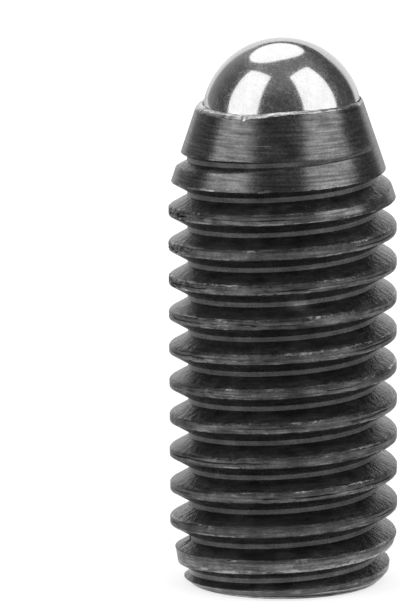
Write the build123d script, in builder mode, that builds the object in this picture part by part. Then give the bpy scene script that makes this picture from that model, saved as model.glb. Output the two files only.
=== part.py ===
"""Spring plunger with a ball nose: threaded body, ball and compression spring.

Units are millimetres.  The origin is the centre of the body's flat lower end,
+Z runs along the axis towards the ball, and the hex socket opens downwards.
"""
from build123d import *
from math import pi, radians, sqrt, tan
import os

os.makedirs("parts", exist_ok=True)

# ---------------------------------------------------------------- driving sizes
# Threaded body: a right-hand M12 coarse thread under a tapered nose.
body_length = 24.6
major_diameter = 11.44
thread_pitch = 1.75
crest_width = 0.49
root_width = 0.16
flank_angle = 30.0
groove_phase = -0.2825       # height at which the groove's middle passes above +X

nose_slope = 18.5            # from the axis, as the foot's slope is
foot_slope = 30.0
foot_tip_diameter = 9.86

# Hex socket, with the mark of its pilot drill and a small countersink.
socket_across_flats = 6.0
socket_depth = 5.5
drill_point_angle = 118.0
socket_mouth_diameter = 7.3
socket_mouth_slope = 60.0

# Ball, the bore that it runs in, and the lip rolled over it.
ball_diameter = 8.0
ball_below_lip = 1.05        # from the lip's top to the ball's centre
ball_clearance = 0.05        # radial, in the bore
lip_clearance = 0.02         # to the lip, at rest
lip_thickness = 0.185        # at its top, where the nose ends
lip_edge_break = 0.05
bore_floor = 8.5
bore_corner_break = 0.2

# Compression spring, closed and ground flat at both ends.
wire_diameter = 1.0          # across the corners of its six-sided section
active_turns = 3.0
closed_turns = 1.0
spring_clearance = 0.3       # radial, in the bore
coil_clearance = 0.04        # between the wires of a closed turn
ground_share = 0.6           # of the wire's diameter, left where the wire ends
seat_clearance = 0.02        # to the bore's floor, and to the ball

# ---------------------------------------------------------------- sizes that follow
major_radius = major_diameter / 2
ball_radius = ball_diameter / 2
bore_radius = ball_radius + ball_clearance
ball_height = body_length - ball_below_lip
lip_inner_radius = sqrt((ball_radius + lip_clearance) ** 2 - ball_below_lip ** 2)
nose_tip_radius = lip_inner_radius + lip_thickness
nose_start = body_length - (major_radius - nose_tip_radius) / tan(radians(nose_slope))
foot_end = (major_radius - foot_tip_diameter / 2) / tan(radians(foot_slope))


def at_height(height):
    """A location on the axis."""
    return Location((0, 0, height))


def chained_helix(pitch, turns, radius, start, first_turn=0.0):
    """Helix edges of at most one turn each, which sweep and cut cleanly end to end.

    first_turn is where the chain begins, in turns from +X.
    """
    edges = []
    done = 0.0
    while turns - done > 1e-6:
        share = min(1.0, turns - done)
        with BuildLine() as stretch:
            Helix(pitch, pitch * share, radius)
        turned = stretch.edge().rotate(Axis.Z, 360 * (first_turn + done))
        edges.append(turned.moved(at_height(start + done * pitch)))
        done += share
    return edges


# ---------------------------------------------------------------- threaded body
with BuildPart() as threaded_body:
    # The turned blank, from the lower end up the outside, over the lip and down the bore.
    with BuildSketch(Plane.YZ) as half_section:
        with BuildLine():
            outside = Polyline(
                (0, bore_floor),
                (0, 0),
                (foot_tip_diameter / 2, 0),
                (major_radius, foot_end),
                (major_radius, nose_start),
                (nose_tip_radius, body_length),
                (lip_inner_radius, body_length),
            )
            lip_inside = TangentArc((bore_radius, ball_height), outside @ 1, tangent=(0, 1))
            Polyline(lip_inside @ 0, (bore_radius, bore_floor), outside @ 0)
        make_face()
        corners = half_section.vertices()
        chamfer(corners.sort_by_distance((nose_tip_radius, body_length))[0], lip_edge_break)
        chamfer(corners.sort_by_distance((bore_radius, bore_floor))[0], bore_corner_break)
    revolve(axis=Axis.Z)

    # One V groove winds from below the foot to its run-out through the tapered nose.
    groove_half_width = (thread_pitch - crest_width) / 2
    flank_rise = tan(radians(flank_angle))
    thread_depth = (groove_half_width - root_width / 2) / flank_rise
    groove_start = groove_phase - thread_pitch
    groove_turns = int((body_length - groove_start) / thread_pitch) + 1
    overcut = 0.15
    with BuildSketch(Plane.XZ) as groove_section:
        with Locations((major_radius + overcut, groove_start)):
            Trapezoid(
                2 * (groove_half_width + overcut * flank_rise),
                thread_depth + overcut,
                90 - flank_angle,
                rotation=90,
                align=(Align.CENTER, Align.MIN),
            )
    groove_path = Wire(chained_helix(thread_pitch, groove_turns, major_radius, groove_start))
    sweep(path=groove_path, is_frenet=True, mode=Mode.SUBTRACT)

    # The hex socket goes in from below, then its drill point and its countersink.
    with BuildSketch():
        RegularPolygon(socket_across_flats / 2, 6, major_radius=False)
    extrude(amount=socket_depth, mode=Mode.SUBTRACT)
    drill_point_depth = socket_across_flats / 2 / tan(radians(drill_point_angle / 2))
    with Locations(at_height(socket_depth)):
        Cone(socket_across_flats / 2, 0, drill_point_depth,
             align=(Align.CENTER, Align.CENTER, Align.MIN), mode=Mode.SUBTRACT)
    mouth_radius = socket_mouth_diameter / 2
    mouth_depth = mouth_radius / tan(radians(socket_mouth_slope))
    Cone(mouth_radius, 0, mouth_depth,
         align=(Align.CENTER, Align.CENTER, Align.MIN), mode=Mode.SUBTRACT)

# ---------------------------------------------------------------- ball
with BuildPart() as nose_ball:
    with Locations(at_height(ball_height)):
        Sphere(ball_radius)

# ---------------------------------------------------------------- spring
wire_radius = wire_diameter / 2
coil_radius = bore_radius - spring_clearance - wire_radius
spring_bottom = bore_floor + seat_clearance
# The ball rests on the inner edge of the flat that grinding leaves on the top turn.
ground_inside = (ground_share - 0.5) * wire_diameter
flat_inner_radius = coil_radius - sqrt(wire_radius ** 2 - ground_inside ** 2)
spring_top = ball_height - sqrt((ball_radius + seat_clearance) ** 2 - flat_inner_radius ** 2)

closed_pitch = wire_diameter + coil_clearance
lower_start = spring_bottom + ground_inside
active_start = lower_start + closed_turns * closed_pitch
upper_start = spring_top - ground_inside - closed_turns * closed_pitch
active_pitch = (upper_start - active_start) / active_turns

with BuildPart() as coil_spring:
    coil_path = Wire(
        chained_helix(closed_pitch, closed_turns, coil_radius, lower_start)
        + chained_helix(active_pitch, active_turns, coil_radius, active_start, closed_turns)
        + chained_helix(closed_pitch, closed_turns, coil_radius, upper_start,
                        closed_turns + active_turns)
    )
    wire_end = Plane((coil_radius, 0, lower_start), z_dir=(0, 2 * pi * coil_radius, closed_pitch))
    with BuildSketch(wire_end):
        RegularPolygon(wire_radius, 6)
    sweep(path=coil_path, is_frenet=True)
    split(bisect_by=Plane(at_height(spring_bottom)), keep=Keep.TOP)
    split(bisect_by=Plane(at_height(spring_top)), keep=Keep.BOTTOM)

# ---------------------------------------------------------------- hand-over
for name, part in (
    ("threaded_body", threaded_body.part),
    ("nose_ball", nose_ball.part),
    ("coil_spring", coil_spring.part),
):
    part.label = name
    export_step(part, f"parts/{name}.step")
    print(name, "volume", round(part.volume, 2), "valid", part.is_valid)
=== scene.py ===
# %% [markdown]
# # A spring plunger with a ball nose
#
# A spring plunger is a threaded steel rod with a ball let into its nose and a spring behind the
# ball.  It holds a workpiece lightly, or clicks into a dimple to mark a position.  Only two things
# show from outside: the black-oxide body, and the cap of the polished ball above its rolled lip.
#
# The lesson builds each piece as a mesh worked out by numpy, because a thread that fades out
# through a tapered nose is easier to say as a formula than to model by hand.  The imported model
# is loaded first, and it gives the overall sizes and places.

from math import cos, pi, radians, sin, sqrt, tan

import bmesh
import bpy
import numpy as np
from mathutils import Matrix, Vector


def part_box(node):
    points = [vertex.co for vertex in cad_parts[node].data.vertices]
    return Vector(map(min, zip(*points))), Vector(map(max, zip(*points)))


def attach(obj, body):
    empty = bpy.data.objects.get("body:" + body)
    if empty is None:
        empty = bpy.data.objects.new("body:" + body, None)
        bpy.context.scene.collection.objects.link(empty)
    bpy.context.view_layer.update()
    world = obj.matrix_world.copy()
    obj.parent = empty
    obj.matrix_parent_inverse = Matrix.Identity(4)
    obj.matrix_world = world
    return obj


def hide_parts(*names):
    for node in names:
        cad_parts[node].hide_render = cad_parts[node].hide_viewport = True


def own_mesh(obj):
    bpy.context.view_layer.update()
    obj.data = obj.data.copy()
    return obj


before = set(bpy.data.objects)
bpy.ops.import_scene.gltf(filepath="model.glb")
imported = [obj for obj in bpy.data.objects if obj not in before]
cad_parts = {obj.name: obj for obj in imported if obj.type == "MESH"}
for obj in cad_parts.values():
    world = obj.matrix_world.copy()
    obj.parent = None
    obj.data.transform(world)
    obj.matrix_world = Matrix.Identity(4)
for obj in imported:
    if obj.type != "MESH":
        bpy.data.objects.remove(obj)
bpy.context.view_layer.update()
MM = 0.001
MICRON = 0.001 * MM

# %% [markdown]
# The frame is in metres, and small turned parts are easier to think about in millimetres, so the
# sizes below are in millimetres and every mesh is scaled once, as it is made.  The length and the
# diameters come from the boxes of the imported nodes.

# %% Sizes read from the frame
body_low, body_high = (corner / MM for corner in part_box("threaded_body"))
ball_low, ball_high = (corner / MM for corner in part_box("nose_ball"))
spring_low, spring_high = (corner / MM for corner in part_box("coil_spring"))

body_length = body_high.z
major_radius = (body_high.y - body_low.y) / 2
ball_radius = (ball_high.z - ball_low.z) / 2
ball_height = (ball_high.z + ball_low.z) / 2
spring_outer_radius = (spring_high.y - spring_low.y) / 2
print("body", round(body_length, 2), "mm long,", round(2 * major_radius, 2), "mm across")
print("ball", round(2 * ball_radius, 2), "mm across, its middle at", round(ball_height, 2), "mm")

# %% [markdown]
# ## Camera
# A long lens from a little above keeps the sides of the rod parallel, as product pictures of
# small hardware do.  The camera comes first, so that every later step can be looked at.

# %% Camera
camera_place = Vector((0, -444.3, 97.95)) * MM
camera_target = Vector((-4.15, 0, 14.25)) * MM
camera_roll = radians(-0.3)
focal_length = 539.8

camera = bpy.data.objects.new("camera", bpy.data.cameras.new("camera"))
camera.data.lens = focal_length
camera.data.clip_start = 0.01
camera.data.clip_end = 20
camera.location = camera_place
facing = (camera_target - camera_place).to_track_quat("-Z", "Y")
camera.rotation_euler = (facing.to_matrix() @ Matrix.Rotation(camera_roll, 3, "Z")).to_euler()
bpy.context.scene.collection.objects.link(camera)
bpy.context.scene.camera = camera
bpy.context.scene.view_settings.view_transform = "Standard"
print("camera", round((camera_target - camera_place).length, 3), "m from its target")

# %% [markdown]
# ## Node helpers
# Each material below is a small tree of nodes.  Writing a tree by hand repeats the same three
# lines again and again, so one helper makes a node, sets its values and links its inputs.  The
# others are short names for the few nodes that are used most.


# %% Helpers for node trees
def add_node(tree, kind, inputs=None, **settings):
    """Makes a node.  inputs maps a socket's name or number to a value or to another node's output."""
    made = tree.nodes.new(kind)
    for name, value in settings.items():
        setattr(made, name, value)
    for socket, value in (inputs or {}).items():
        if isinstance(value, bpy.types.NodeSocket):
            tree.links.new(value, made.inputs[socket])
        else:
            made.inputs[socket].default_value = value
    return made


def grey(level):
    """A neutral colour as a socket wants it."""
    return (level, level, level, 1)


def math_node(tree, operation, first, second=0.0, third=0.0, clamp=False):
    """The output of a Math node."""
    inputs = {0: first, 1: second, 2: third}
    return add_node(tree, "ShaderNodeMath", inputs, operation=operation, use_clamp=clamp).outputs[0]


def mix_node(tree, share, first, second):
    """The first value where share is 0, and the second where it is 1."""
    return add_node(tree, "ShaderNodeMix", {"Factor": share, "A": first, "B": second}).outputs[0]


def between(tree, value, low, high, to_low=0.0, to_high=1.0):
    """Eases value from low..high to to_low..to_high, and holds it there outside that range."""
    inputs = {"Value": value, "From Min": low, "From Max": high, "To Min": to_low, "To Max": to_high}
    return add_node(tree, "ShaderNodeMapRange", inputs, interpolation_type="SMOOTHSTEP").outputs["Result"]


print("node helpers ready")

# %% [markdown]
# ## Room
# Polished steel has no colour of its own to speak of: what shows on it is the room.  The usual
# set for such a piece is a white sweep behind it, a dark room around the camera, and a few large
# softboxes.  The world gives the first two.  Rays from the camera always see white; rays that
# leave a shiny surface see white where the sweep is, behind the piece, and a dim room elsewhere;
# all other rays see an even grey that fills the shadows.

# %% Greys of the room, and where they begin
room_grey = 0.06
ceiling_grey = 0.20
wall_grey = 0.36
fill_grey = 0.60
sweep_grey = 1.0

# Each pair is where a thing begins to show and where it is full, as parts of a direction one
# long: X to the right of the piece, Y behind it and Z up.
left_x = (-0.10, -0.35)
sweep_y = (0.72, 0.83)
sweep_top_z = (0.47, 0.45)
floor_z = (0.0, -0.02)
ceiling_z = (0.55, 1.0)
wall_y = (0.25, 0.95)
sweep_shift_on_left = -0.09
print("room", room_grey, "fill", fill_grey)

# %% World
world = bpy.data.worlds.new("studio")
bpy.context.scene.world = world
world.use_nodes = True
tree = world.node_tree
tree.nodes.clear()
light_path = add_node(tree, "ShaderNodeLightPath")
direction = add_node(tree, "ShaderNodeTexCoord").outputs["Generated"]
to_right, to_back, to_top = add_node(tree, "ShaderNodeSeparateXYZ", {0: direction}).outputs

on_left = between(tree, to_right, *left_x)
sweep_place = math_node(tree, "MULTIPLY_ADD", on_left, sweep_shift_on_left, to_back)
sweep = math_node(tree, "MULTIPLY", between(tree, sweep_place, *sweep_y), between(tree, to_top, *sweep_top_z))
white_part = math_node(tree, "MAXIMUM", sweep, between(tree, to_top, *floor_z))
room = between(tree, to_top, *ceiling_z, room_grey, ceiling_grey)
left_wall = math_node(tree, "MULTIPLY", on_left, between(tree, to_back, *wall_y))
room = math_node(tree, "MULTIPLY_ADD", left_wall, wall_grey - room_grey, room)
mirrored = mix_node(tree, white_part, room, sweep_grey)

shiny = math_node(tree, "ADD", light_path.outputs["Is Glossy Ray"],
                  light_path.outputs["Is Transmission Ray"], clamp=True)
soft_or_shiny = mix_node(tree, shiny, fill_grey, mirrored)
seen = mix_node(tree, light_path.outputs["Is Camera Ray"], soft_or_shiny, 1.0)
background = add_node(tree, "ShaderNodeBackground", {"Color": grey(1), "Strength": seen})
add_node(tree, "ShaderNodeOutputWorld", {"Surface": background.outputs[0]})
print("world nodes", len(tree.nodes))

# %% [markdown]
# ## Softboxes
# A softbox is a big square lamp.  Its picture on the ball shows where it stands, so each is
# given by the direction in which it is seen from the ball, the way that its back points, and its
# size in metres.  Azimuth 0 is towards the camera and 90 is to its right.  A lamp's power is
# worked out from how bright its face should look, which stays the same when the lamp is made
# larger.

# %% Softboxes
softbox_glow = 1.6
softbox_distance = 0.40


def towards(azimuth, elevation):
    """The direction of that azimuth and elevation, in degrees."""
    a, e = radians(azimuth), radians(elevation)
    return Vector((sin(a) * cos(e), -cos(a) * cos(e), sin(e)))


def softbox(name, place, back, size, roll, rounded=False):
    """A lamp that the ball sees in the direction place, with its back pointing towards back."""
    lamp = bpy.data.lights.new(name, "AREA")
    lamp.shape = "ELLIPSE" if rounded else "RECTANGLE"
    lamp.size, lamp.size_y = size
    lamp.energy = softbox_glow * pi * size[0] * size[1] * (pi / 4 if rounded else 1)
    made = bpy.data.objects.new(name, lamp)
    made.location = Vector((0, 0, ball_height * MM)) + towards(*place) * softbox_distance
    turn = towards(*back).to_track_quat("Z", "Y").to_matrix() @ Matrix.Rotation(radians(roll), 3, "Z")
    made.rotation_euler = turn.to_euler()
    made.visible_camera = False
    bpy.context.scene.collection.objects.link(made)


softbox("softbox_left", place=(-68, 39), back=(-52, 15), size=(0.334, 0.583), roll=3.5)
softbox("softbox_right", place=(65, 44), back=(59, 15.5), size=(0.356, 0.633), roll=-3)
softbox("softbox_top", place=(189.7, 54.3), back=(176.6, 78.6), size=(0.308, 0.369), roll=-20, rounded=True)

# %% [markdown]
# ## Floor
# The piece stands on its flat end, on a pale sheet that is big enough to have no edge in view.

# %% Floor sheet
floor_half_side = 2.0
floor_drop = 0.02 * MM

floor_mesh = bpy.data.meshes.new("floor")
floor_corners = [(x * floor_half_side, y * floor_half_side, -floor_drop)
                 for x, y in ((-1, -1), (1, -1), (1, 1), (-1, 1))]
floor_mesh.from_pydata(floor_corners, [], [(0, 1, 2, 3)])
floor = bpy.data.objects.new("floor", floor_mesh)
bpy.context.scene.collection.objects.link(floor)
print("floor", 2 * floor_half_side, "m square")

# %% [markdown]
# The sheet adds a little light of its own where it is seen directly, so that it looks white, and
# the rest is plain paint, which takes the shadow.  Shiny metal mirrors it too, and most brightly
# close to the foot.

# %% Floor paint and its glow
floor_paint = 0.35
seen_floor_glow = 0.72
mirrored_floor_glow = 0.12
mirrored_glow_at_foot = 0.70
foot_glow_reach = (6 * MM, 14 * MM)      # from the piece's middle

paper = bpy.data.materials.new("pale_floor")
paper.use_nodes = True
tree = paper.node_tree
tree.nodes.clear()
light_path = add_node(tree, "ShaderNodeLightPath")
from_camera = light_path.outputs["Is Camera Ray"]
shiny = math_node(tree, "ADD", light_path.outputs["Is Glossy Ray"],
                  light_path.outputs["Is Transmission Ray"], clamp=True)
place = add_node(tree, "ShaderNodeNewGeometry")
length = add_node(tree, "ShaderNodeVectorMath", {0: place.outputs["Position"]}, operation="LENGTH")
from_middle = length.outputs["Value"]

mirrored_glow = between(tree, from_middle, *foot_glow_reach, mirrored_glow_at_foot, mirrored_floor_glow)
glow = math_node(tree, "MULTIPLY_ADD", shiny, mirrored_glow,
                 math_node(tree, "MULTIPLY", from_camera, seen_floor_glow))
paint = add_node(tree, "ShaderNodeBsdfDiffuse", {"Color": grey(floor_paint)})
own_light = add_node(tree, "ShaderNodeEmission", {"Color": grey(1), "Strength": glow})
near_floor = add_node(tree, "ShaderNodeAddShader", {0: paint.outputs[0], 1: own_light.outputs[0]})
print("floor glow", seen_floor_glow, "seen,", mirrored_floor_glow, "to", mirrored_glow_at_foot, "mirrored")

# %% [markdown]
# Far away the sheet fades into the white room.  Seen from underneath it is clear, so that the
# socket in the flat end can be looked at, and a round window under the piece, where nobody sees
# it from above, lets light into that socket.

# %% Floor's fade and window
fade_to_white = (0.15, 0.60)
window_radius = 4.0 * MM

seen = math_node(tree, "ADD", from_camera, shiny, clamp=True)
white = add_node(tree, "ShaderNodeEmission", {"Color": grey(1), "Strength": seen})
away = between(tree, from_middle, *fade_to_white)
faded = add_node(tree, "ShaderNodeMixShader", {0: away, 1: near_floor.outputs[0], 2: white.outputs[0]})
clear = add_node(tree, "ShaderNodeBsdfTransparent")
in_window = math_node(tree, "LESS_THAN", from_middle, window_radius)
see_through = math_node(tree, "MAXIMUM", place.outputs["Backfacing"], in_window)
two_sided = add_node(tree, "ShaderNodeMixShader", {0: see_through, 1: faded.outputs[0], 2: clear.outputs[0]})
add_node(tree, "ShaderNodeOutputMaterial", {"Surface": two_sided.outputs[0]})
floor_mesh.materials.append(paper)
print("floor nodes", len(tree.nodes))

# %% [markdown]
# ## The thread as a formula
# The thread is cut with a single point tool: a groove with slanting flanks and a narrow flat
# root winds up the rod, and what is left between its turns is the crest.  Every point of the
# surface has one radius for its angle and its height, so the surface is a height map wrapped
# round the axis.  The blank gives one radius (foot, cylinder, taper), the thread's profile gives
# another, and the smaller of the two is the metal's surface.
#
# The foot was chamfered and then thinned a little over its first turns, so that the thread finds
# its way into a hole.  The taper was turned a hair off the thread's axis.

# %% The blank's sizes and radius
foot_heights = [0.0, 0.45, 1.0, 1.75, 2.5]     # a short chamfer, then a long gentle lead
foot_radii = [4.70, 5.27, 5.33, 5.46, major_radius]
foot_end = foot_heights[1]
nose_slope = tan(radians(18.5))
nose_tip_radius = 4.06
nose_off_centre = -0.09
nose_start = body_length - (major_radius - nose_tip_radius) / nose_slope


def nose_radius(angle, height):
    """Radius of the taper."""
    return nose_tip_radius + (body_length - height) * nose_slope + nose_off_centre * np.cos(angle)


def blank_radius(angle, height):
    """Radius of the turned blank."""
    return np.minimum(np.interp(height, foot_heights, foot_radii), nose_radius(angle, height))


print("taper starts at", round(nose_start, 2), "mm, foot chamfer ends at", round(foot_end, 2), "mm")

# %% [markdown]
# The crest of a real thread is not flat: the metal was pushed up at its lower edge, and it rounds
# off towards its upper edge.  The profile is worked out for heights above the groove's middle.

# %% The thread's profile
pitch = 1.75
groove_phase = -0.3425       # height at which the groove's middle passes above +X
low_edge_full = -0.59        # where the groove meets the crests, from its middle
high_edge_full = 0.64
crest_width = pitch - high_edge_full + low_edge_full
root_half = 0.115
root_radius = 4.765
lower_rounding = 0.02        # how far the crest's two edges lie below its highest line
upper_rounding = 0.12
lower_round_share = 0.15     # how much of the crest's width the lower rounding takes
shoulder_share = 0.76        # where the crest turns down to its upper edge, from its lower edge


def crest_drop(share):
    """How far the crest lies below its highest line, from 0 at its lower edge to 1 at its upper."""
    lower = lower_rounding * np.clip(1 - share / lower_round_share, 0, 1) ** 2
    upper = upper_rounding * np.clip((share - shoulder_share) / (1 - shoulder_share), 0, 1)
    return lower + upper


def thread_radius(offset):
    """Radius of the full thread at that height above the groove's middle."""
    offset = (offset - low_edge_full) % pitch + low_edge_full
    groove = np.interp(offset, [low_edge_full, -root_half, root_half, high_edge_full],
                       [major_radius - upper_rounding, root_radius, root_radius,
                        major_radius - lower_rounding])
    crest = major_radius - crest_drop((offset - high_edge_full) / crest_width)
    return np.where(offset < high_edge_full, groove, crest)


def groove_middle(turned):
    """Height of the groove's middle after that much turning about the axis, in radians."""
    return groove_phase + pitch * turned / (2 * pi)


print("crest", round(crest_width, 2), "mm wide, groove", round(major_radius - root_radius, 2), "mm deep")

# %% [markdown]
# At the end of its cut the tool was drawn out of the metal over part of a turn, so the groove
# fades away on the front of the taper and leaves a fine trace behind.

# %% Where the tool leaves the metal
fade_start, fade_end, last_trace = (float(groove_middle(2 * pi * turns)) for turns in (12.66, 12.87, 13.10))
trace_depth = 0.012
trace_lift = 0.05            # how far the tool rises over the trace


def ease(value, low, high):
    """Eases from 0 at low to 1 at high."""
    share = np.clip((value - low) / (high - low), 0, 1)
    return share * share * (3 - 2 * share)


def tool_lift(angle, middle):
    """How far the tool has been drawn out where the groove's middle is at that height."""
    natural = nose_radius(angle, middle) - root_radius
    trace = trace_depth - trace_lift * ease(middle, fade_end, last_trace)
    return np.maximum(natural - trace, 0) * ease(middle, fade_start, fade_end)


def metal_radius(angle, height):
    """Radius of the threaded metal at that angle and height."""
    around = (height - groove_middle(angle) - low_edge_full) % pitch + low_edge_full
    lift = tool_lift(angle, height - around)
    return np.minimum(thread_radius(around) + lift, blank_radius(angle, height))


print("tool leaves the metal from", round(fade_start, 2), "to", round(fade_end, 2), "mm")

# %% [markdown]
# ## Unevenness
# Nothing on a real screw is perfectly even: the tool tears a little metal from the edges, and the
# lip is rolled by hand.  Two helpers give smooth random wandering, one along a line such as the
# thread, and one round a ring, where the end has to meet the start.  They are seeded, so the
# piece comes out the same each time.  A third makes one bump at a chosen place of a ring.


# %% Wandering values
def wander(distance, step, seed):
    """Smooth values from -1 to 1 along a line, with a new one every step."""
    place = (distance - distance.min()) / step
    left = np.floor(place).astype(int)
    share = ease(place - left, 0, 1)
    values = np.random.default_rng(seed).uniform(-1, 1, left.max() + 2)
    return values[left] * (1 - share) + values[left + 1] * share


def ring_wander(angle, waves, seed):
    """Smooth values, mostly from -1 to 1, round a ring, with up to that many waves."""
    draws = np.random.default_rng(seed)
    total = 0 * angle
    for wave in range(1, waves + 1):
        total = total + draws.uniform(-1, 1) * np.cos(wave * angle + draws.uniform(0, 2 * pi))
    return total / sqrt(waves / 3)


def angle_from(angle, degrees):
    """The angle left to turn from that many degrees, the short way round."""
    return (angle - radians(degrees) + pi) % (2 * pi) - pi


def bump_at(angle, degrees, width):
    """A bump of height 1 at that place of a ring, width degrees to each side."""
    return np.exp(-(angle_from(angle, degrees) / radians(width)) ** 2)


print("wander", wander(np.linspace(0, 3, 4), 1.0, 1).round(2))

# %% [markdown]
# ## The rolled lip's lines
# The lip was rolled down over the ball, further on its left than round the rest, and the roller
# left one dent in front.  Two lines say its shape: the edge round the ball, and the shoulder
# where the taper ends.  Both are only heights, so each is a function of the angle.

# %% Edge and shoulder of the lip
lip_left = radians(205)
rim_drop, rim_drop_left = 0.08, 0.25                 # below the body's end, and further on the left
shoulder_drop, shoulder_drop_left = 0.13, 0.10       # below the lip's edge
dent_place = 244.0                                   # in degrees
dent_push, dent_push_width = 0.09, 1.8


def left_side(angle):
    """1 on the left of the lip, where it was rolled down furthest, and 0 round the rest."""
    return ease(np.cos(angle - lip_left), 0.3, 0.9)


def lip_top(angle):
    """Height of the rolled lip's edge, slightly ragged."""
    ragged = 0.010 * ring_wander(angle, 40, seed=11)
    return body_length - rim_drop - rim_drop_left * left_side(angle) + ragged


def lip_shoulder(angle):
    """Height at which the taper ends and the roundness of the lip begins."""
    even = lip_top(angle) - shoulder_drop - shoulder_drop_left * left_side(angle)
    pushed_down = dent_push * bump_at(angle, dent_place, dent_push_width)
    return even - pushed_down + 0.008 * ring_wander(angle, 60, seed=13)


print("lip's edge at", round(float(lip_top(0.0)), 2), "mm on the right")

# %% [markdown]
# ## Rows along the thread
# A grid that follows the thread keeps its edges sharp: each row of points runs along one line of
# the groove, up the whole rod, and each column crosses one pitch.  Where the groove gets shallow
# in the taper, its rows close up on each other, and below the foot and above the lip all rows lie
# on the end's edge.  Points that fall together are joined afterwards.

# %% Columns, and the groove's edges in each
columns_per_turn = 456
spare_columns = 2
ladder_steps = 481
shallowest_cut = 0.002

column_step = 2 * pi / columns_per_turn
first_turn = (low_edge_full - pitch - groove_phase) / pitch
last_turn = (body_length + pitch - groove_phase) / pitch
first_column = int(np.floor(first_turn * columns_per_turn)) - spare_columns
last_column = int(np.ceil(last_turn * columns_per_turn)) + spare_columns
columns = np.arange(first_column, last_column + columns_per_turn + 1)
turned = columns * column_step
middle = groove_middle(turned)

# Where the groove starts and ends in each column, found on a fine ladder of heights.
ladder = np.linspace(low_edge_full, high_edge_full, ladder_steps)
in_groove = np.minimum(ladder, high_edge_full - 1e-6)
groove = thread_radius(in_groove) + tool_lift(turned, middle)[:, None]
cut = blank_radius(turned[:, None], middle[:, None] + ladder) - groove > shallowest_cut
grooved = cut.any(axis=1)
low_edge = np.where(grooved, ladder[cut.argmax(axis=1)], 0.0)
high_edge = np.where(grooved, ladder[len(ladder) - 1 - cut[:, ::-1].argmax(axis=1)], 0.0)
full = np.clip((high_edge - low_edge) / (high_edge_full - low_edge_full), 0, 1)
print("columns", len(columns), "of which grooved", int(grooved.sum()))

# %% [markdown]
# The edges between flank and crest are rounded by a few hundredths of a millimetre, unevenly, and
# here and there a nick has taken a bigger bite.  A nick is the top of a wandering line, with all
# that lies below a chosen level set to nothing.

# %% Edge breaks and nicks along the thread
along = turned * major_radius
edge_break = 0.028
nick_share = 0.12


def nicks(seed, spacing, share):
    """Mostly 0, with short bumps up to 1 in about that share of the places."""
    return np.maximum(0, wander(along, spacing, seed) - 1 + 2 * share) / (2 * share)


def uneven_break(seed, nick_size, nick_spacing):
    """Half the width of an edge's rounding, with a nick here and there."""
    uneven = 1 + 0.5 * wander(along, 0.35, seed)
    return edge_break * full * (uneven + nick_size * nicks(seed + 1, nick_spacing, nick_share))


low_break = uneven_break(seed=21, nick_size=2.2, nick_spacing=0.30)
high_break = uneven_break(seed=23, nick_size=2.0, nick_spacing=0.28)
print("widest break", round(float(low_break.max()), 3), "mm")

# %% [markdown]
# What happens to the crest depends on where it is: it ends at the taper and at the foot, it is
# rougher on the rod's two sides, and the foot has its own burr.  These places are worked out
# first, as a share for every column, with a helper for what comes and goes along the thread.

# %% Places on the crest
crest_above = 1.0            # from the groove's middle to about the middle of the crest above it
crest_fade = 0.3
both_sides = (0.5, 0.95)     # how far to a side it begins and is full, 1 being the outermost
burr_height, burr_spread = 1.6, 0.45


def patchy(base, *layers, most=1.0):
    """Wanders along the thread between 0 and most.  A layer is a swing, its step in mm and its seed."""
    total = base
    for swing, step, seed in layers:
        total = total + swing * wander(along, step, seed)
    return np.clip(total, 0, most)


below_taper = ease(middle + crest_above, nose_start, nose_start - crest_fade)
on_crest = full * (middle + high_edge_full > foot_end) * below_taper
to_the_sides = ease(np.abs(np.cos(turned)), *both_sides)
near_foot = np.exp(-((middle + high_edge_full - burr_height) / burr_spread) ** 2)
print("columns with a crest", int((on_crest > 0).sum()))

# %% [markdown]
# Along the middle of the crest runs a lap: a fine broken line where the pushed-up metal folded
# over, deepest on the rod's two sides.  Near the foot the lower edge of the crest carries a
# burr, and on the left of the upper turns the crest is torn.  Each is a depth for every column,
# largest where a wandering line is high.

# %% Laps, burrs and torn stretches
lap_deepest = 0.042
burr_highest = 0.05
torn_deepest = 0.15
torn_left = (0.70, 0.95)     # how far to the left it begins and is full, 1 being the leftmost
torn_heights = (12.5, 14.0)
crest_rubbed = 0.012
crest_swing = 0.008

# The lap's place and half its width, as shares of the crest's width.
lap_place = patchy(0.42, (0.10, 2.3, 25), (0.03, 0.4, 26))
lap_half = patchy(0.08, (0.03, 0.8, 27))
lap_strength = patchy(0.1 + 0.6 * to_the_sides, (1.2, 3.1, 28), (0.5, 0.3, 29), most=1.2)
lap_depth = lap_deepest * on_crest * lap_strength
burr = near_foot * patchy(0, (1.0, 0.16, 30)) * burr_highest * (0.4 + 0.6 * nicks(31, 0.9, 0.5))
torn = torn_deepest * on_crest * ease(-np.cos(turned), *torn_left) * ease(middle, *torn_heights)
crest_waves = crest_rubbed + crest_swing * wander(along, 1.4, 38) + crest_swing * wander(along, 0.3, 39)
uneven_crest = on_crest * crest_waves
print("deepest lap", round(float(lap_depth.max()), 3), "mm, highest burr", round(float(burr.max()), 3), "mm")

# %% [markdown]
# Now the rows get their heights.  Eight rows shape the groove: two for the rounding of each edge,
# two for the flat root and one half way down each flank.  Five more cross the crest, and the last
# row lies on the first row of the next turn, so that the strip closes on itself.

# %% The rows' heights in each column
ROOT_ROW, BURR_ROW, LAP_ROW, SHOULDER_ROW = 3, 7, 10, 12
inner_break_share = 0.8      # of an edge's rounding, on the flank's side
foot_corner = 0.05

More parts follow.
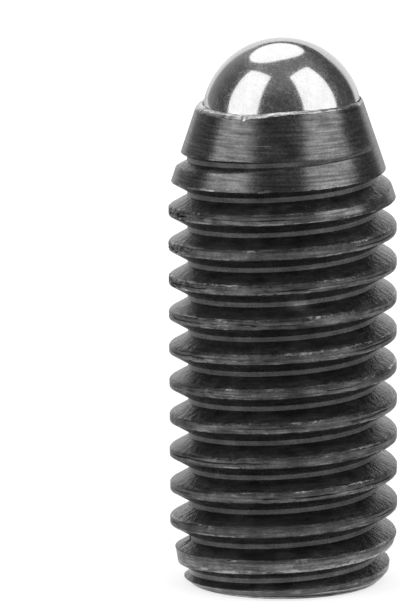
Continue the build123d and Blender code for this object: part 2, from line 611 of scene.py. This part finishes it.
low_root = np.clip(-root_half, low_edge, high_edge)
high_root = np.clip(root_half, low_edge, high_edge)
groove_rows = np.stack([
    low_edge - low_break,
    low_edge + inner_break_share * low_break,
    (low_edge + low_root) / 2,
    low_root,
    high_root,
    (high_root + high_edge) / 2,
    high_edge - inner_break_share * high_break,
    high_edge + high_break,
], axis=1)
groove_heights = middle[:, None] + groove_rows
one_turn_on = groove_heights[columns_per_turn:, 0]
groove_heights = groove_heights[:-columns_per_turn]
used = slice(0, len(groove_heights))

crest_low = groove_heights[:, -1]
crest_span = one_turn_on - crest_low
lap_low, lap_high = lap_place - lap_half, lap_place + lap_half
crest_shares = [lap_low / 2, lap_low, lap_place, lap_high, 0 * lap_low + shoulder_share, 0 * lap_low + 1]
crest_heights = crest_low[:, None] + crest_span[:, None] * np.stack(crest_shares, axis=1)[used]

used_turned = turned[used]
heights = np.concatenate([groove_heights, crest_heights], axis=1)
heights = np.clip(heights, foot_corner, lip_shoulder(used_turned)[:, None])
angles = np.repeat(used_turned[:, None], heights.shape[1], axis=1)
print("grid", heights.shape, "points")

# %% [markdown]
# Each point's radius comes from the formula, and the unevenness is added or taken off.  One chip
# also crosses the groove near the foot: four rows are pushed in, each at its own angle, so that
# the chip leans as it crosses.

# %% The rows' radii
CHIP_ROW = 2
chip_places = 2 * pi + np.radians([193.5, 190.5, 188.7, 187.5])
chip_depths = (0.10, 0.20, 0.20, 0.12)
chip_half_width = radians(1.0)

radii = metal_radius(angles, heights)
radii[:, LAP_ROW] -= lap_depth[used]
radii[:, BURR_ROW] += burr[used]
radii[:, BURR_ROW:SHOULDER_ROW + 1] -= uneven_crest[used, None]
for row, seed in enumerate(range(41, 47), start=BURR_ROW):
    radii[:, row] -= (torn * patchy(0, (1.0, 0.13, seed)))[used]
radii = np.minimum(radii, major_radius)
for row, (place, depth) in enumerate(zip(chip_places, chip_depths), start=CHIP_ROW):
    radii[:, row] -= depth * np.exp(-((used_turned - place) / chip_half_width) ** 2)
print("radii from", round(float(radii.min()), 2), "to", round(float(radii.max()), 2), "mm")

# %% [markdown]
# ## Wear and painted highlight kept with the mesh
# The coat is rubbed off where the piece was handled: along the edges, and most of all on the
# burred turn near the foot.  The edges on the rod's two sides also get a painted highlight in the
# same way.  Where that is belongs to the shape, so each point keeps a number for it, from 0 to 1,
# which the material reads later.

# %% Wear, and painted highlight on the rod's two sides
upper_heights = (10.0, 14.0)     # the shoulder is less worn there
shoulder_most = 0.4

# Painted highlight: the to_the_sides part lightens the edges on the rod's two sides.
wear_and_highlight_low = full * patchy(0.05 + 0.2 * to_the_sides, (0.6, 1.3, 32), (0.4, 0.25, 33))
wear_and_highlight_high = full * patchy(0.30 + 0.2 * to_the_sides + near_foot, (0.7, 1.7, 34), (0.5, 0.25, 35))
worn_burr = near_foot * patchy(0.65, (0.6, 0.3, 40))
upper_half = ease(middle, *upper_heights)
worn_shoulder = shoulder_most * on_crest * patchy(-0.15 - 0.3 * upper_half, (0.9, 1.1, 36), (0.4, 0.25, 37))

wear_and_highlight = np.zeros(heights.shape)
wear_and_highlight[:, 0] = wear_and_highlight_low[used]
wear_and_highlight[:, -1] = wear_and_highlight_low[columns_per_turn:]
wear_and_highlight[:, BURR_ROW] = wear_and_highlight_high[used]
wear_and_highlight[:, BURR_ROW + 1] = worn_burr[used]
wear_and_highlight[:, SHOULDER_ROW] = worn_shoulder[used]
print("mean wear of the edges", round(float(wear_and_highlight[:, [0, BURR_ROW]].mean()), 2))

# %% [markdown]
# A second number, shade, makes the coat lighter or darker.  The crest is made lighter along its
# lower half and darker towards its upper edge, the laps get painted shade along their folds, and
# one smudge of dust lies in a groove at mid height.  Last, each point is told its place on the
# unrolled surface, which the tool marks follow.

# %% Shade, and the unrolled surface
crest_tones = (1.1, 1.05, 1.0, 0.95, 0.85)
lap_painted_shade = 0.6
smudge_degrees, smudge_height = 280, 14.9
smudge_half_length, smudge_half_height = 0.45, 0.22
smudge_strength = 3.0

shade = np.ones(heights.shape)
# The crest's rows go from lighter at its lower edge to darker at its upper edge.
for row, tone in enumerate(crest_tones, start=BURR_ROW + 1):
    shade[:, row] += on_crest[used] * (tone - 1)
# Painted shade: the lap row is darkened as deeply as its lap is deep.
shade[:, LAP_ROW] *= 1 - lap_painted_shade * (lap_depth / lap_deepest)[used]
smudge_along = angle_from(angles, smudge_degrees) * root_radius / smudge_half_length
smudge_up = (heights - smudge_height) / smudge_half_height
shade *= 1 + smudge_strength * np.exp(-smudge_along ** 2 - smudge_up ** 2)
surface_map = np.stack([angles * major_radius, heights], axis=-1)
print("shade from", round(float(shade.min()), 2), "to", round(float(shade.max()), 2))

# %% [markdown]
# ## Mesh helpers
# Every surface is a grid of points with rows and columns, whether it is the thread's strip or a
# stack of rings.  One helper turns radius, angle and height into points, and one joins a grid
# into four-cornered faces.


# %% Points and faces of a grid
def as_points(radius, angle, height):
    """Points from a radius, an angle and a height, in metres."""
    return np.stack([radius * np.cos(angle), radius * np.sin(angle), height + 0 * angle], axis=-1) * MM


def grid_faces(first, row_count, column_count):
    """Four-cornered faces between the rows and columns of a grid numbered from first, row by row."""
    row, column = np.meshgrid(np.arange(row_count - 1), np.arange(column_count - 1), indexing="ij")
    corner = first + row * column_count + column
    corners = [corner, corner + 1, corner + column_count + 1, corner + column_count]
    return np.stack(corners, axis=-1).reshape(-1, 4)


print("one face joins points", grid_faces(0, 2, 2)[0])

# %% [markdown]
# The next helper makes a whole piece.  Where rows close up, points lie on each other and faces
# have no area, so it joins such points, drops such faces, and counts the edges that stay open: a
# sound piece has none.  Faces are shaded smooth, but edges sharper than an angle stay crisp.


# %% A piece from points and faces
def close_up(mesh):
    """Joins doubled points, drops collapsed faces, and says how many edges stay open."""
    cleaner = bmesh.new()
    cleaner.from_mesh(mesh)
    bmesh.ops.remove_doubles(cleaner, verts=cleaner.verts, dist=2e-7)
    bmesh.ops.dissolve_degenerate(cleaner, edges=cleaner.edges, dist=1e-7)
    bmesh.ops.recalc_face_normals(cleaner, faces=cleaner.faces)
    open_edges = sum(1 for edge in cleaner.edges if len(edge.link_faces) != 2)
    cleaner.to_mesh(mesh)
    cleaner.free()
    return open_edges


def make_piece(name, points, faces, materials, values, surface, face_material=None, sharp_angle=22.0):
    """A mesh object.  values are numbers kept at each point, and surface its unrolled place."""
    mesh = bpy.data.meshes.new(name)
    mesh.from_pydata(points, [], faces)
    for material in materials:
        mesh.materials.append(material)
    if face_material is not None:
        mesh.polygons.foreach_set("material_index", face_material)
    for value_name, value in values.items():
        mesh.attributes.new(value_name, "FLOAT", "POINT").data.foreach_set("value", value)
    corner_point = np.zeros(len(mesh.loops), dtype=np.int32)
    mesh.loops.foreach_get("vertex_index", corner_point)
    mesh.uv_layers.new(name="surface").data.foreach_set("uv", surface[corner_point].reshape(-1))
    open_edges = close_up(mesh)
    mesh.polygons.foreach_set("use_smooth", np.ones(len(mesh.polygons), dtype=bool))
    mesh.set_sharp_from_angle(angle=radians(sharp_angle))
    triangles = sum(len(face.vertices) - 2 for face in mesh.polygons)
    print(name, "triangles", triangles, "open edges", open_edges)
    made = bpy.data.objects.new(name, mesh)
    bpy.context.scene.collection.objects.link(made)
    return made


print("piece helper ready")

# %% [markdown]
# ## Rings over the lip and down the bore
# The rest of the body is made of plain rings.  They begin at the shoulder, roll over the lip with
# its dent and its ragged edge, follow the ball down to its middle, and drop straight to the
# bore's floor.  A ring has as many points as a turn of the thread has columns, so neighbours
# join point to point.

# %% Lip and bore
bore_clearance = 0.05
bore_radius = ball_radius + bore_clearance
bore_floor = 8.5
bore_corner = 0.2
lip_clearance = 0.02
lip_edge = 0.03              # height and width of the lip's inner rounding
bore_widening = 0.03         # from the clearance under the lip to the bore's
lip_step = 0.012             # in and up from the shoulder, and inwards below the edge
bulge_height, bulge_drop = 0.035, 0.018      # of the rolled metal, over the shoulder and inside it
undercut_most = 0.035
dent_width, dent_bulge, dent_lift = 2.2, 0.07, 0.03
gap_place, gap_width, gap_most = 346, 9, 0.045       # where the lip stands off the ball
raggedness = 0.012

ring_angle = np.arange(columns_per_turn + 1) * column_step
rim = lip_top(ring_angle)
shoulder = lip_shoulder(ring_angle)
shoulder_radius = metal_radius(ring_angle, shoulder)


def over_ball(height):
    """Radius at which the lip just clears the ball."""
    return np.sqrt((ball_radius + lip_clearance) ** 2 - (height - ball_height) ** 2)


undercut = undercut_most * left_side(ring_angle)
dent = bump_at(ring_angle, dent_place, dent_width)
gap = gap_most * bump_at(ring_angle, gap_place, gap_width)
ragged = raggedness * ring_wander(ring_angle, 70, seed=12)
rim_inner = over_ball(rim) + lip_edge + gap / 2
bulge = shoulder_radius - bulge_drop + dent_bulge * dent + ragged
inner_rings = [
    (shoulder_radius, shoulder),
    (shoulder_radius - lip_step - undercut, shoulder + lip_step),
    (bulge, shoulder + bulge_height),
    (bulge * 0.65 + rim_inner * 0.35, shoulder * 0.35 + rim * 0.65 + dent_lift * dent),
    (rim_inner, rim),
    (over_ball(rim - lip_edge) + lip_step + gap, rim - lip_edge),
]
lip_ring_count = len(inner_rings) - 1
for share in (0.25, 0.5, 0.75, 1.0):
    height = (rim - lip_edge) * (1 - share) + ball_height * share
    inner_rings.append((over_ball(height) + bore_widening * share + gap * (1 - share), height))
inner_rings += [
    (bore_radius, bore_floor + bore_corner),
    (bore_radius - bore_corner, bore_floor),
    (0.0, bore_floor),
]
print("rings over the lip and down the bore", len(inner_rings))

# %% [markdown]
# ## Rings into the socket
# The flat end has a hex socket for the key that drives the plunger in: a small countersink, the
# six-sided hole, and at its end the cone that the pilot drill left.  A ring of the hole is a
# hexagon instead of a circle, so the countersink ends nearer its mouth at the corners.

# %% Socket
socket_half = 3.0            # half of the size across the flats
socket_depth = 5.5
mouth_radius = 3.65
mouth_slope = tan(radians(60))
drill_slope = tan(radians(59))
foot_rounding = ((0.02, 0.015), (0.06, 0.0))     # in from the corner, and height above the flat end

hexagon = socket_half / np.cos(ring_angle % (pi / 3) - pi / 6)
foot_outer = metal_radius(ring_angle, foot_corner + 0 * ring_angle)
socket_rings = [(foot_outer, foot_corner)]
socket_rings += [(foot_outer - inwards, height) for inwards, height in foot_rounding]
foot_ring_count = len(socket_rings)
socket_rings += [
    (mouth_radius, 0.0),
    (hexagon, (mouth_radius - hexagon) / mouth_slope),
    (hexagon, socket_depth),
    (socket_half, socket_depth),
    (0.0, socket_depth + socket_half / drill_slope),
]
print("rings into the socket", len(socket_rings))

# %% [markdown]
# ## Putting the body together
# The strip and the two stacks of rings become one list of points and faces.  Each face is given
# its finish here, because the rows say what it is: root, flank, crest or lip.  Two finishes go by
# height instead: the taper's, and the ridged one of the foot.

# %% A finish for each face
CREST, FLANK, ROOT, TAPER, LIP, BORE, FOOT = range(7)
ridged_up_to = 1.1

row_count, column_count = heights.shape[1], heights.shape[0]
row_of_face = np.repeat(np.arange(row_count - 1), column_count - 1)
face_heights = (heights[:-1] + heights[1:]) / 2
face_heights = ((face_heights[:, :-1] + face_heights[:, 1:]) / 2).T.reshape(-1)
# The crest's shoulder strip takes the flank's finish, and with it the flank's painted shade.
on_groove = (row_of_face < BURR_ROW) | ((row_of_face == SHOULDER_ROW) & (face_heights < nose_start))
grid_finish = np.select(
    [row_of_face == ROOT_ROW, on_groove, face_heights > nose_start, face_heights < ridged_up_to],
    [ROOT, FLANK, TAPER, FOOT], CREST)
inner_of_face = np.repeat(np.arange(len(inner_rings) - 1), columns_per_turn)
socket_of_face = np.repeat(np.arange(len(socket_rings) - 1), columns_per_turn)
body_finish = np.concatenate([grid_finish, np.where(inner_of_face < lip_ring_count, LIP, BORE),
                              np.where(socket_of_face < foot_ring_count, FOOT, BORE)])
print("faces of each finish", np.bincount(body_finish))


# %% Points, faces and kept numbers of the body
def ring_stack(rings):
    """Points of a stack of rings."""
    return np.concatenate([as_points(r + 0 * ring_angle, ring_angle, h) for r, h in rings])


grid_points = as_points(radii.T, angles.T, heights.T).reshape(-1, 3)
body_points = np.concatenate([grid_points, ring_stack(inner_rings), ring_stack(socket_rings)])
socket_first = len(grid_points) + len(inner_rings) * (columns_per_turn + 1)
body_faces = np.concatenate([
    grid_faces(0, row_count, column_count),
    grid_faces(len(grid_points), len(inner_rings), columns_per_turn + 1),
    grid_faces(socket_first, len(socket_rings), columns_per_turn + 1),
])
ring_maps = [np.stack([ring_angle * major_radius, h + 0 * ring_angle], axis=-1)
             for _, h in inner_rings + socket_rings]
body_surface = np.concatenate([surface_map.transpose(1, 0, 2).reshape(-1, 2)] + ring_maps)
ring_points = len(body_points) - len(grid_points)
body_values = {"wear_and_highlight": np.concatenate([wear_and_highlight.T.reshape(-1), np.zeros(ring_points)]),
               "shade": np.concatenate([shade.T.reshape(-1), np.ones(ring_points)])}
print("body points", len(body_points), "faces", len(body_faces))

# %% [markdown]
# ## Tool marks
# The body is blackened: a very thin layer of iron oxide that keeps the tool marks of the steel
# below.  Turned surfaces have fine rings, the flanks have short marks across the thread where the
# tool chattered, and all is a little grainy.  The marks are noise that is drawn out one way and
# laid on the unrolled surface, so that they follow the thread round the rod.  Grain and clouds
# are plain noise.

# %% Patterns that the tools left
ridge_spacing = 0.25
long_cut_edge = (0.74, 0.80)     # only the highest values of their noise are cuts


def noise(tree, place, scale, detail, roughness):
    """Noise from 0 to 1 at that place."""
    inputs = {"Vector": place, "Scale": scale, "Detail": detail, "Roughness": roughness}
    return add_node(tree, "ShaderNodeTexNoise", inputs).outputs["Fac"]


def millimetres(tree):
    """The point's place on the object, in millimetres."""
    place = add_node(tree, "ShaderNodeTexCoord").outputs["Object"]
    scaled = add_node(tree, "ShaderNodeVectorMath", {0: place, "Scale": 1 / MM}, operation="SCALE")
    return scaled.outputs["Vector"]


def marks(tree, lean, round_it, up_it, kind, detail=3.0):
    """Noise with so many changes a millimetre round the rod and up it.  Each kind has its own."""
    surface = add_node(tree, "ShaderNodeUVMap", uv_map="surface").outputs[0]
    measured = [add_node(tree, "ShaderNodeVectorMath", {0: surface, 1: way}, operation="DOT_PRODUCT")
                for way in ((round_it, 0, 0), (-lean * up_it, up_it, 0))]
    length, height = (made.outputs["Value"] for made in measured)
    drawn_out = add_node(tree, "ShaderNodeCombineXYZ", {0: length, 1: height, 2: kind}).outputs[0]
    return noise(tree, drawn_out, scale=1.0, detail=detail, roughness=0.6)


def tool_marks(tree, lean):
    """Every kind of mark by its name: noise from 0 to 1, but for the ridges, which are a wave."""
    place = millimetres(tree)
    up = add_node(tree, "ShaderNodeSeparateXYZ", {0: place}).outputs["Z"]
    long_cuts = marks(tree, lean, round_it=0.15, up_it=9.0, kind=4.0, detail=1.0)
    return {
        "fine lines": marks(tree, lean, round_it=0.35, up_it=10.0, kind=1.0),
        "streaks": marks(tree, lean, round_it=0.6, up_it=4.5, kind=2.0),
        "crossing": marks(tree, lean, round_it=3.0, up_it=4.0, kind=3.0, detail=4.0),
        "long cuts": between(tree, long_cuts, *long_cut_edge),
        "sand": noise(tree, place, scale=9.0, detail=4.0, roughness=0.7),
        "cloud": noise(tree, place, scale=1.1, detail=4.0, roughness=0.6),
        "ridges": math_node(tree, "SINE", math_node(tree, "MULTIPLY", up, 2 * pi / ridge_spacing)),
    }


print("ridges", ridge_spacing, "mm apart")

# %% [markdown]
# ## Black oxide
# The coat looks like dark metal, so it is a metal shader with a dark colour.  It is thinner and
# lighter in patches, and lighter or darker where the mesh says so by its shade.  Where the mesh
# keeps wear and painted highlight, the coat comes off in flakes and bare steel shows: the flakes
# follow the streaks.

# %% Tone of the coat, and where it is worn off
bare_steel = 0.42
most_noise = (0.3, 0.7)      # nearly all values of a noise lie between these
sand_spread, line_spread = 0.25, 0.25
scratch_gain = 1.5
wear_and_highlight_gain = 1.5
flake_streaks, flake_sand = 0.6, 0.4
flake_edge = (0.40, 0.58)


def coat_tone(tree, cut, lines, patches, scratches):
    """How light the coat is, as a factor round 1."""
    tone = between(tree, cut["cloud"], *most_noise, 1 - patches, 1 + patches)
    for mark, spread in (("streaks", patches), ("sand", sand_spread), ("fine lines", line_spread * lines)):
        swing = between(tree, cut[mark], *most_noise, 1 - spread, 1 + spread)
        tone = math_node(tree, "MULTIPLY", tone, swing)
    scratched = math_node(tree, "MULTIPLY_ADD", cut["long cuts"], scratch_gain * scratches, 1.0)
    tone = math_node(tree, "MULTIPLY", tone, scratched)
    shade_there = add_node(tree, "ShaderNodeAttribute", attribute_name="shade").outputs["Fac"]
    return math_node(tree, "MULTIPLY", tone, shade_there)


def worn_and_highlit_share(tree, cut):
    """1 where the coat has come off and where a painted highlight shows bare steel, and 0 where it holds."""
    # The kept number holds wear and, on the rod's two sides, painted highlight.
    wear_and_highlight_there = add_node(tree, "ShaderNodeAttribute", attribute_name="wear_and_highlight").outputs["Fac"]
    flakes = math_node(tree, "MULTIPLY_ADD", cut["streaks"], flake_streaks,
                       math_node(tree, "MULTIPLY", cut["sand"], flake_sand))
    holding = math_node(tree, "SUBTRACT", between(tree, flakes, *flake_edge), 1.0)
    return math_node(tree, "MULTIPLY_ADD", wear_and_highlight_there, wear_and_highlight_gain, holding, clamp=True)


print("bare steel", bare_steel)

# %% [markdown]
# One function makes the material for every surface of the body, because they differ only in how
# they were cut.  The marks are added up into one height for the bump, in microns.  On the foot
# the turning tool left ridges, and the colour gives their tops a painted highlight and the
# hollows between them painted shade.

# %% The coated metal
# Painted highlight and painted shade for the foot's ridges: their tops are made lighter and the hollows
# darker.
ridge_painted_shade, ridge_painted_highlight_gain = 0.25, 2.6
ridge_highlight_top = (0.2, 1.0)           # the part of the wave that is bright
ridge_highlight_streaks = (0.25, 0.55)     # and the streaks that it is bright in
roughness_swing = 0.2
scratch_depth = 2.0


def black_oxide(name, lightness, roughness, lean=0.0, lines=0.0, crosses=0.0, grain=0.3, scratches=0.0,
                ridges=0.0, patches=0.35, mark_depth=4.0, metal=0.8):
    """A dark coated metal.  lines, crosses, grain, scratches and ridges are how strong each mark is."""
    material = bpy.data.materials.new(name)
    material.use_nodes = True
    tree = material.node_tree
    shader = tree.nodes["Principled BSDF"]
    cut = tool_marks(tree, lean)

    height = math_node(tree, "MULTIPLY", cut["fine lines"], lines)
    for mark, strength in (("crossing", crosses), ("sand", grain), ("long cuts", -scratch_depth * scratches),
                           ("ridges", ridges)):
        height = math_node(tree, "MULTIPLY_ADD", cut[mark], strength, height)
    bump = add_node(tree, "ShaderNodeBump", {"Height": height, "Strength": 1.0,
                                             "Distance": mark_depth * MICRON})
    tree.links.new(bump.outputs[0], shader.inputs["Normal"])

    tone = coat_tone(tree, cut, lines, patches, scratches)
    level = mix_node(tree, worn_and_highlit_share(tree, cut), math_node(tree, "MULTIPLY", tone, lightness), bare_steel)
    # Painted highlight on the ridge tops and painted shade in the hollows between them.
    if ridges:
        painted_ridge_highlight = math_node(tree, "MULTIPLY", between(tree, cut["ridges"], *ridge_highlight_top),
                                 between(tree, cut["streaks"], *ridge_highlight_streaks))
        ridge_painted_light = math_node(tree, "MULTIPLY_ADD", painted_ridge_highlight, ridge_painted_highlight_gain, ridge_painted_shade)
        level = math_node(tree, "MULTIPLY", level, ridge_painted_light)
    base = add_node(tree, "ShaderNodeCombineColor", {0: level, 1: level, 2: level})
    tree.links.new(base.outputs[0], shader.inputs["Base Color"])
    lowest = roughness - roughness_swing / 2
    rough = math_node(tree, "MULTIPLY_ADD", cut["sand"], roughness_swing, lowest)
    tree.links.new(rough, shader.inputs["Roughness"])
    shader.inputs["Metallic"].default_value = metal
    return material


print("ridge tops", ridge_painted_shade + ridge_painted_highlight_gain, "times the coat's tone, valleys", ridge_painted_shade)

# %% [markdown]
# The crests and the taper were turned bright and blackened.  The flanks, which the tool ploughed,
# carry deep marks across the thread, and their darker colour is painted shade for the groove.  The
# lip was burnished by the roller after blackening and shows nearly bare steel.

# %% The body and its finishes, in the order of their numbers
thread_lean = pitch / (2 * pi * major_radius)
body_finishes = [
    black_oxide("black_oxide_crest", lightness=0.14, roughness=0.34, lean=thread_lean,
                lines=1.4, crosses=0.4, metal=0.95),
    # The flank's low lightness is painted shade.
    black_oxide("black_oxide_flank", lightness=0.066, roughness=0.19, lean=thread_lean,
                lines=0.5, crosses=1.6, mark_depth=46.0, metal=0.77),
    black_oxide("black_oxide_root", lightness=0.105, roughness=0.27, lean=thread_lean,
                lines=0.4, patches=0.2),
    black_oxide("black_oxide_taper", lightness=0.147, roughness=0.27,
                lines=1.6, patches=0.18, scratches=0.6, metal=0.92),
    black_oxide("burnished_lip", lightness=0.58, roughness=0.30,
                lines=0.6, crosses=0.4, grain=1.0, metal=1.0),
    black_oxide("black_oxide_bore", lightness=0.07, roughness=0.40, lines=0.6),
    black_oxide("black_oxide_foot", lightness=0.14, roughness=0.28, lines=1.0, grain=0.6, ridges=6.0),
]
body = make_piece("body_threaded", body_points, body_faces, body_finishes, body_values, body_surface,
                  face_material=body_finish)
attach(body, "housing")
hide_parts("threaded_body")

# %% [markdown]
# ## Ball
# The ball is a hardened bearing ball, ground and lapped until it mirrors the room.  A sphere of
# many even faces keeps its outline round, so it starts from an icosahedron that is divided again
# and again and pushed out to the radius.

# %% Ball mesh
ball_divisions = 7

ball_mesh = bmesh.new()
bmesh.ops.create_icosphere(ball_mesh, subdivisions=ball_divisions, radius=ball_radius * MM)
for point in ball_mesh.verts:
    point.co = point.co.normalized() * ball_radius * MM + Vector((0, 0, ball_height * MM))
ball_data = bpy.data.meshes.new("ball_polished")
ball_mesh.to_mesh(ball_data)
ball_mesh.free()
ball_data.polygons.foreach_set("use_smooth", np.ones(len(ball_data.polygons), dtype=bool))
ball = bpy.data.objects.new("ball_polished", ball_data)
bpy.context.scene.collection.objects.link(ball)
print("ball triangles", len(ball_data.polygons))

# %% [markdown]
# After some handling the polish is a little uneven, which shows as mottling in the dark parts of
# the reflection.  So two metals are mixed, a clear mirror and a hazy one, and the share of haze
# follows the mottle.

# %% Ball material
mirror_roughness = 0.10
haze_roughness = 0.38
steel_levels = (0.54, 0.64)
haze_shares = (0.04, 0.36)
haze_swing = (0.6, 1.4)
polish_depth = 2.0           # of the bump, in microns

polish = bpy.data.materials.new("lapped_steel")
polish.use_nodes = True
tree = polish.node_tree
mirror = tree.nodes["Principled BSDF"]
place = millimetres(tree)
mottle = noise(tree, place, scale=2.2, detail=6.0, roughness=0.7)
fine_mottle = noise(tree, place, scale=8.0, detail=3.0, roughness=0.65)
level = between(tree, mottle, *most_noise, *steel_levels)
base = add_node(tree, "ShaderNodeCombineColor", {0: level, 1: level, 2: level})
bump = add_node(tree, "ShaderNodeBump", {"Height": mottle, "Strength": 1.0,
                                         "Distance": polish_depth * MICRON})
haze = add_node(tree, "ShaderNodeBsdfPrincipled")
for layer, roughness in ((mirror, mirror_roughness), (haze, haze_roughness)):
    layer.inputs["Metallic"].default_value = 1.0
    layer.inputs["Roughness"].default_value = roughness
    tree.links.new(base.outputs[0], layer.inputs["Base Color"])
    tree.links.new(bump.outputs[0], layer.inputs["Normal"])
haziness = math_node(tree, "MULTIPLY", between(tree, fine_mottle, *most_noise, *haze_shares),
                     between(tree, mottle, *most_noise, *haze_swing))
both = add_node(tree, "ShaderNodeMixShader", {0: haziness, 1: mirror.outputs[0], 2: haze.outputs[0]})
tree.links.new(both.outputs[0], tree.nodes["Material Output"].inputs["Surface"])
ball_data.materials.append(polish)
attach(ball, "ball")
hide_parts("nose_ball")
print("ball nodes", len(tree.nodes))

# %% [markdown]
# ## Spring
# The spring is round wire, wound with one closed turn at each end and ground flat, so that it
# sits square on the bore's floor and under the ball.  Its centre line is a helix whose rise
# changes from the closed pitch to the open one.

# %% Spring's centre line
wire_diameter = 1.0
coil_clearance = 0.04
closed_turns = 1.0
active_turns = 3.0
steps_per_turn = 96
ground_inside = 0.1 * wire_diameter      # from the wire's middle to its ground flat

spring_floor = spring_low.z
spring_top = spring_high.z
wire_radius = wire_diameter / 2
coil_radius = spring_outer_radius - wire_radius
closed_rise = closed_turns * (wire_diameter + coil_clearance)
turns = 2 * closed_turns + active_turns
steps = np.linspace(0, turns, int(turns * steps_per_turn) + 1)
line_start = spring_floor + ground_inside
line_end = spring_top - ground_inside
line_height = np.interp(steps, [0, closed_turns, closed_turns + active_turns, turns],
                        [line_start, line_start + closed_rise, line_end - closed_rise, line_end])
step_angle = steps * 2 * pi
outward = np.stack([np.cos(step_angle), np.sin(step_angle), 0 * step_angle], axis=1)
line = outward * coil_radius
line[:, 2] = line_height
print("open pitch", round((line_end - line_start - 2 * closed_rise) / active_turns, 3), "mm")

# %% [markdown]
# A circle carried along that line gives the wire.  Grinding is the ends' points pushed back to
# the flat.  The wire has the same marks as the body in a lighter tone, so it uses the same
# function.

# %% Spring wire
wire_sides = 24

tangent = np.gradient(line, axis=0)
tangent /= np.linalg.norm(tangent, axis=1)[:, None]
upward = np.cross(outward, tangent)
round_wire = np.arange(wire_sides) / wire_sides * 2 * pi
wire_points = (line[:, None] + wire_radius * (np.cos(round_wire)[None, :, None] * outward[:, None]
                                              + np.sin(round_wire)[None, :, None] * upward[:, None]))
wire_points[..., 2] = np.clip(wire_points[..., 2], spring_floor, spring_top)
wire_points = wire_points.reshape(-1, 3) * MM

wire_faces = []
for ring in range(len(steps) - 1):
    for side in range(wire_sides):
        here, above = ring * wire_sides, (ring + 1) * wire_sides
        after = (side + 1) % wire_sides
        wire_faces.append((here + side, here + after, above + after, above + side))
wire_faces.append(tuple(range(wire_sides))[::-1])
wire_faces.append(tuple((len(steps) - 1) * wire_sides + side for side in range(wire_sides)))

wire_steel = black_oxide("spring_steel", lightness=0.45, roughness=0.30, grain=0.4, metal=1.0)
wire_surface = np.broadcast_arrays(step_angle[:, None] * coil_radius, round_wire * wire_radius)
wire_values = {"wear_and_highlight": np.zeros(len(wire_points)), "shade": np.ones(len(wire_points))}
spring = make_piece("spring_wire", wire_points, wire_faces, [wire_steel], wire_values,
                    np.stack(wire_surface, axis=-1).reshape(-1, 2), sharp_angle=40)
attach(spring, "spring")
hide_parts("coil_spring")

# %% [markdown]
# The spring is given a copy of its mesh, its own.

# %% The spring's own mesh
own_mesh(spring)
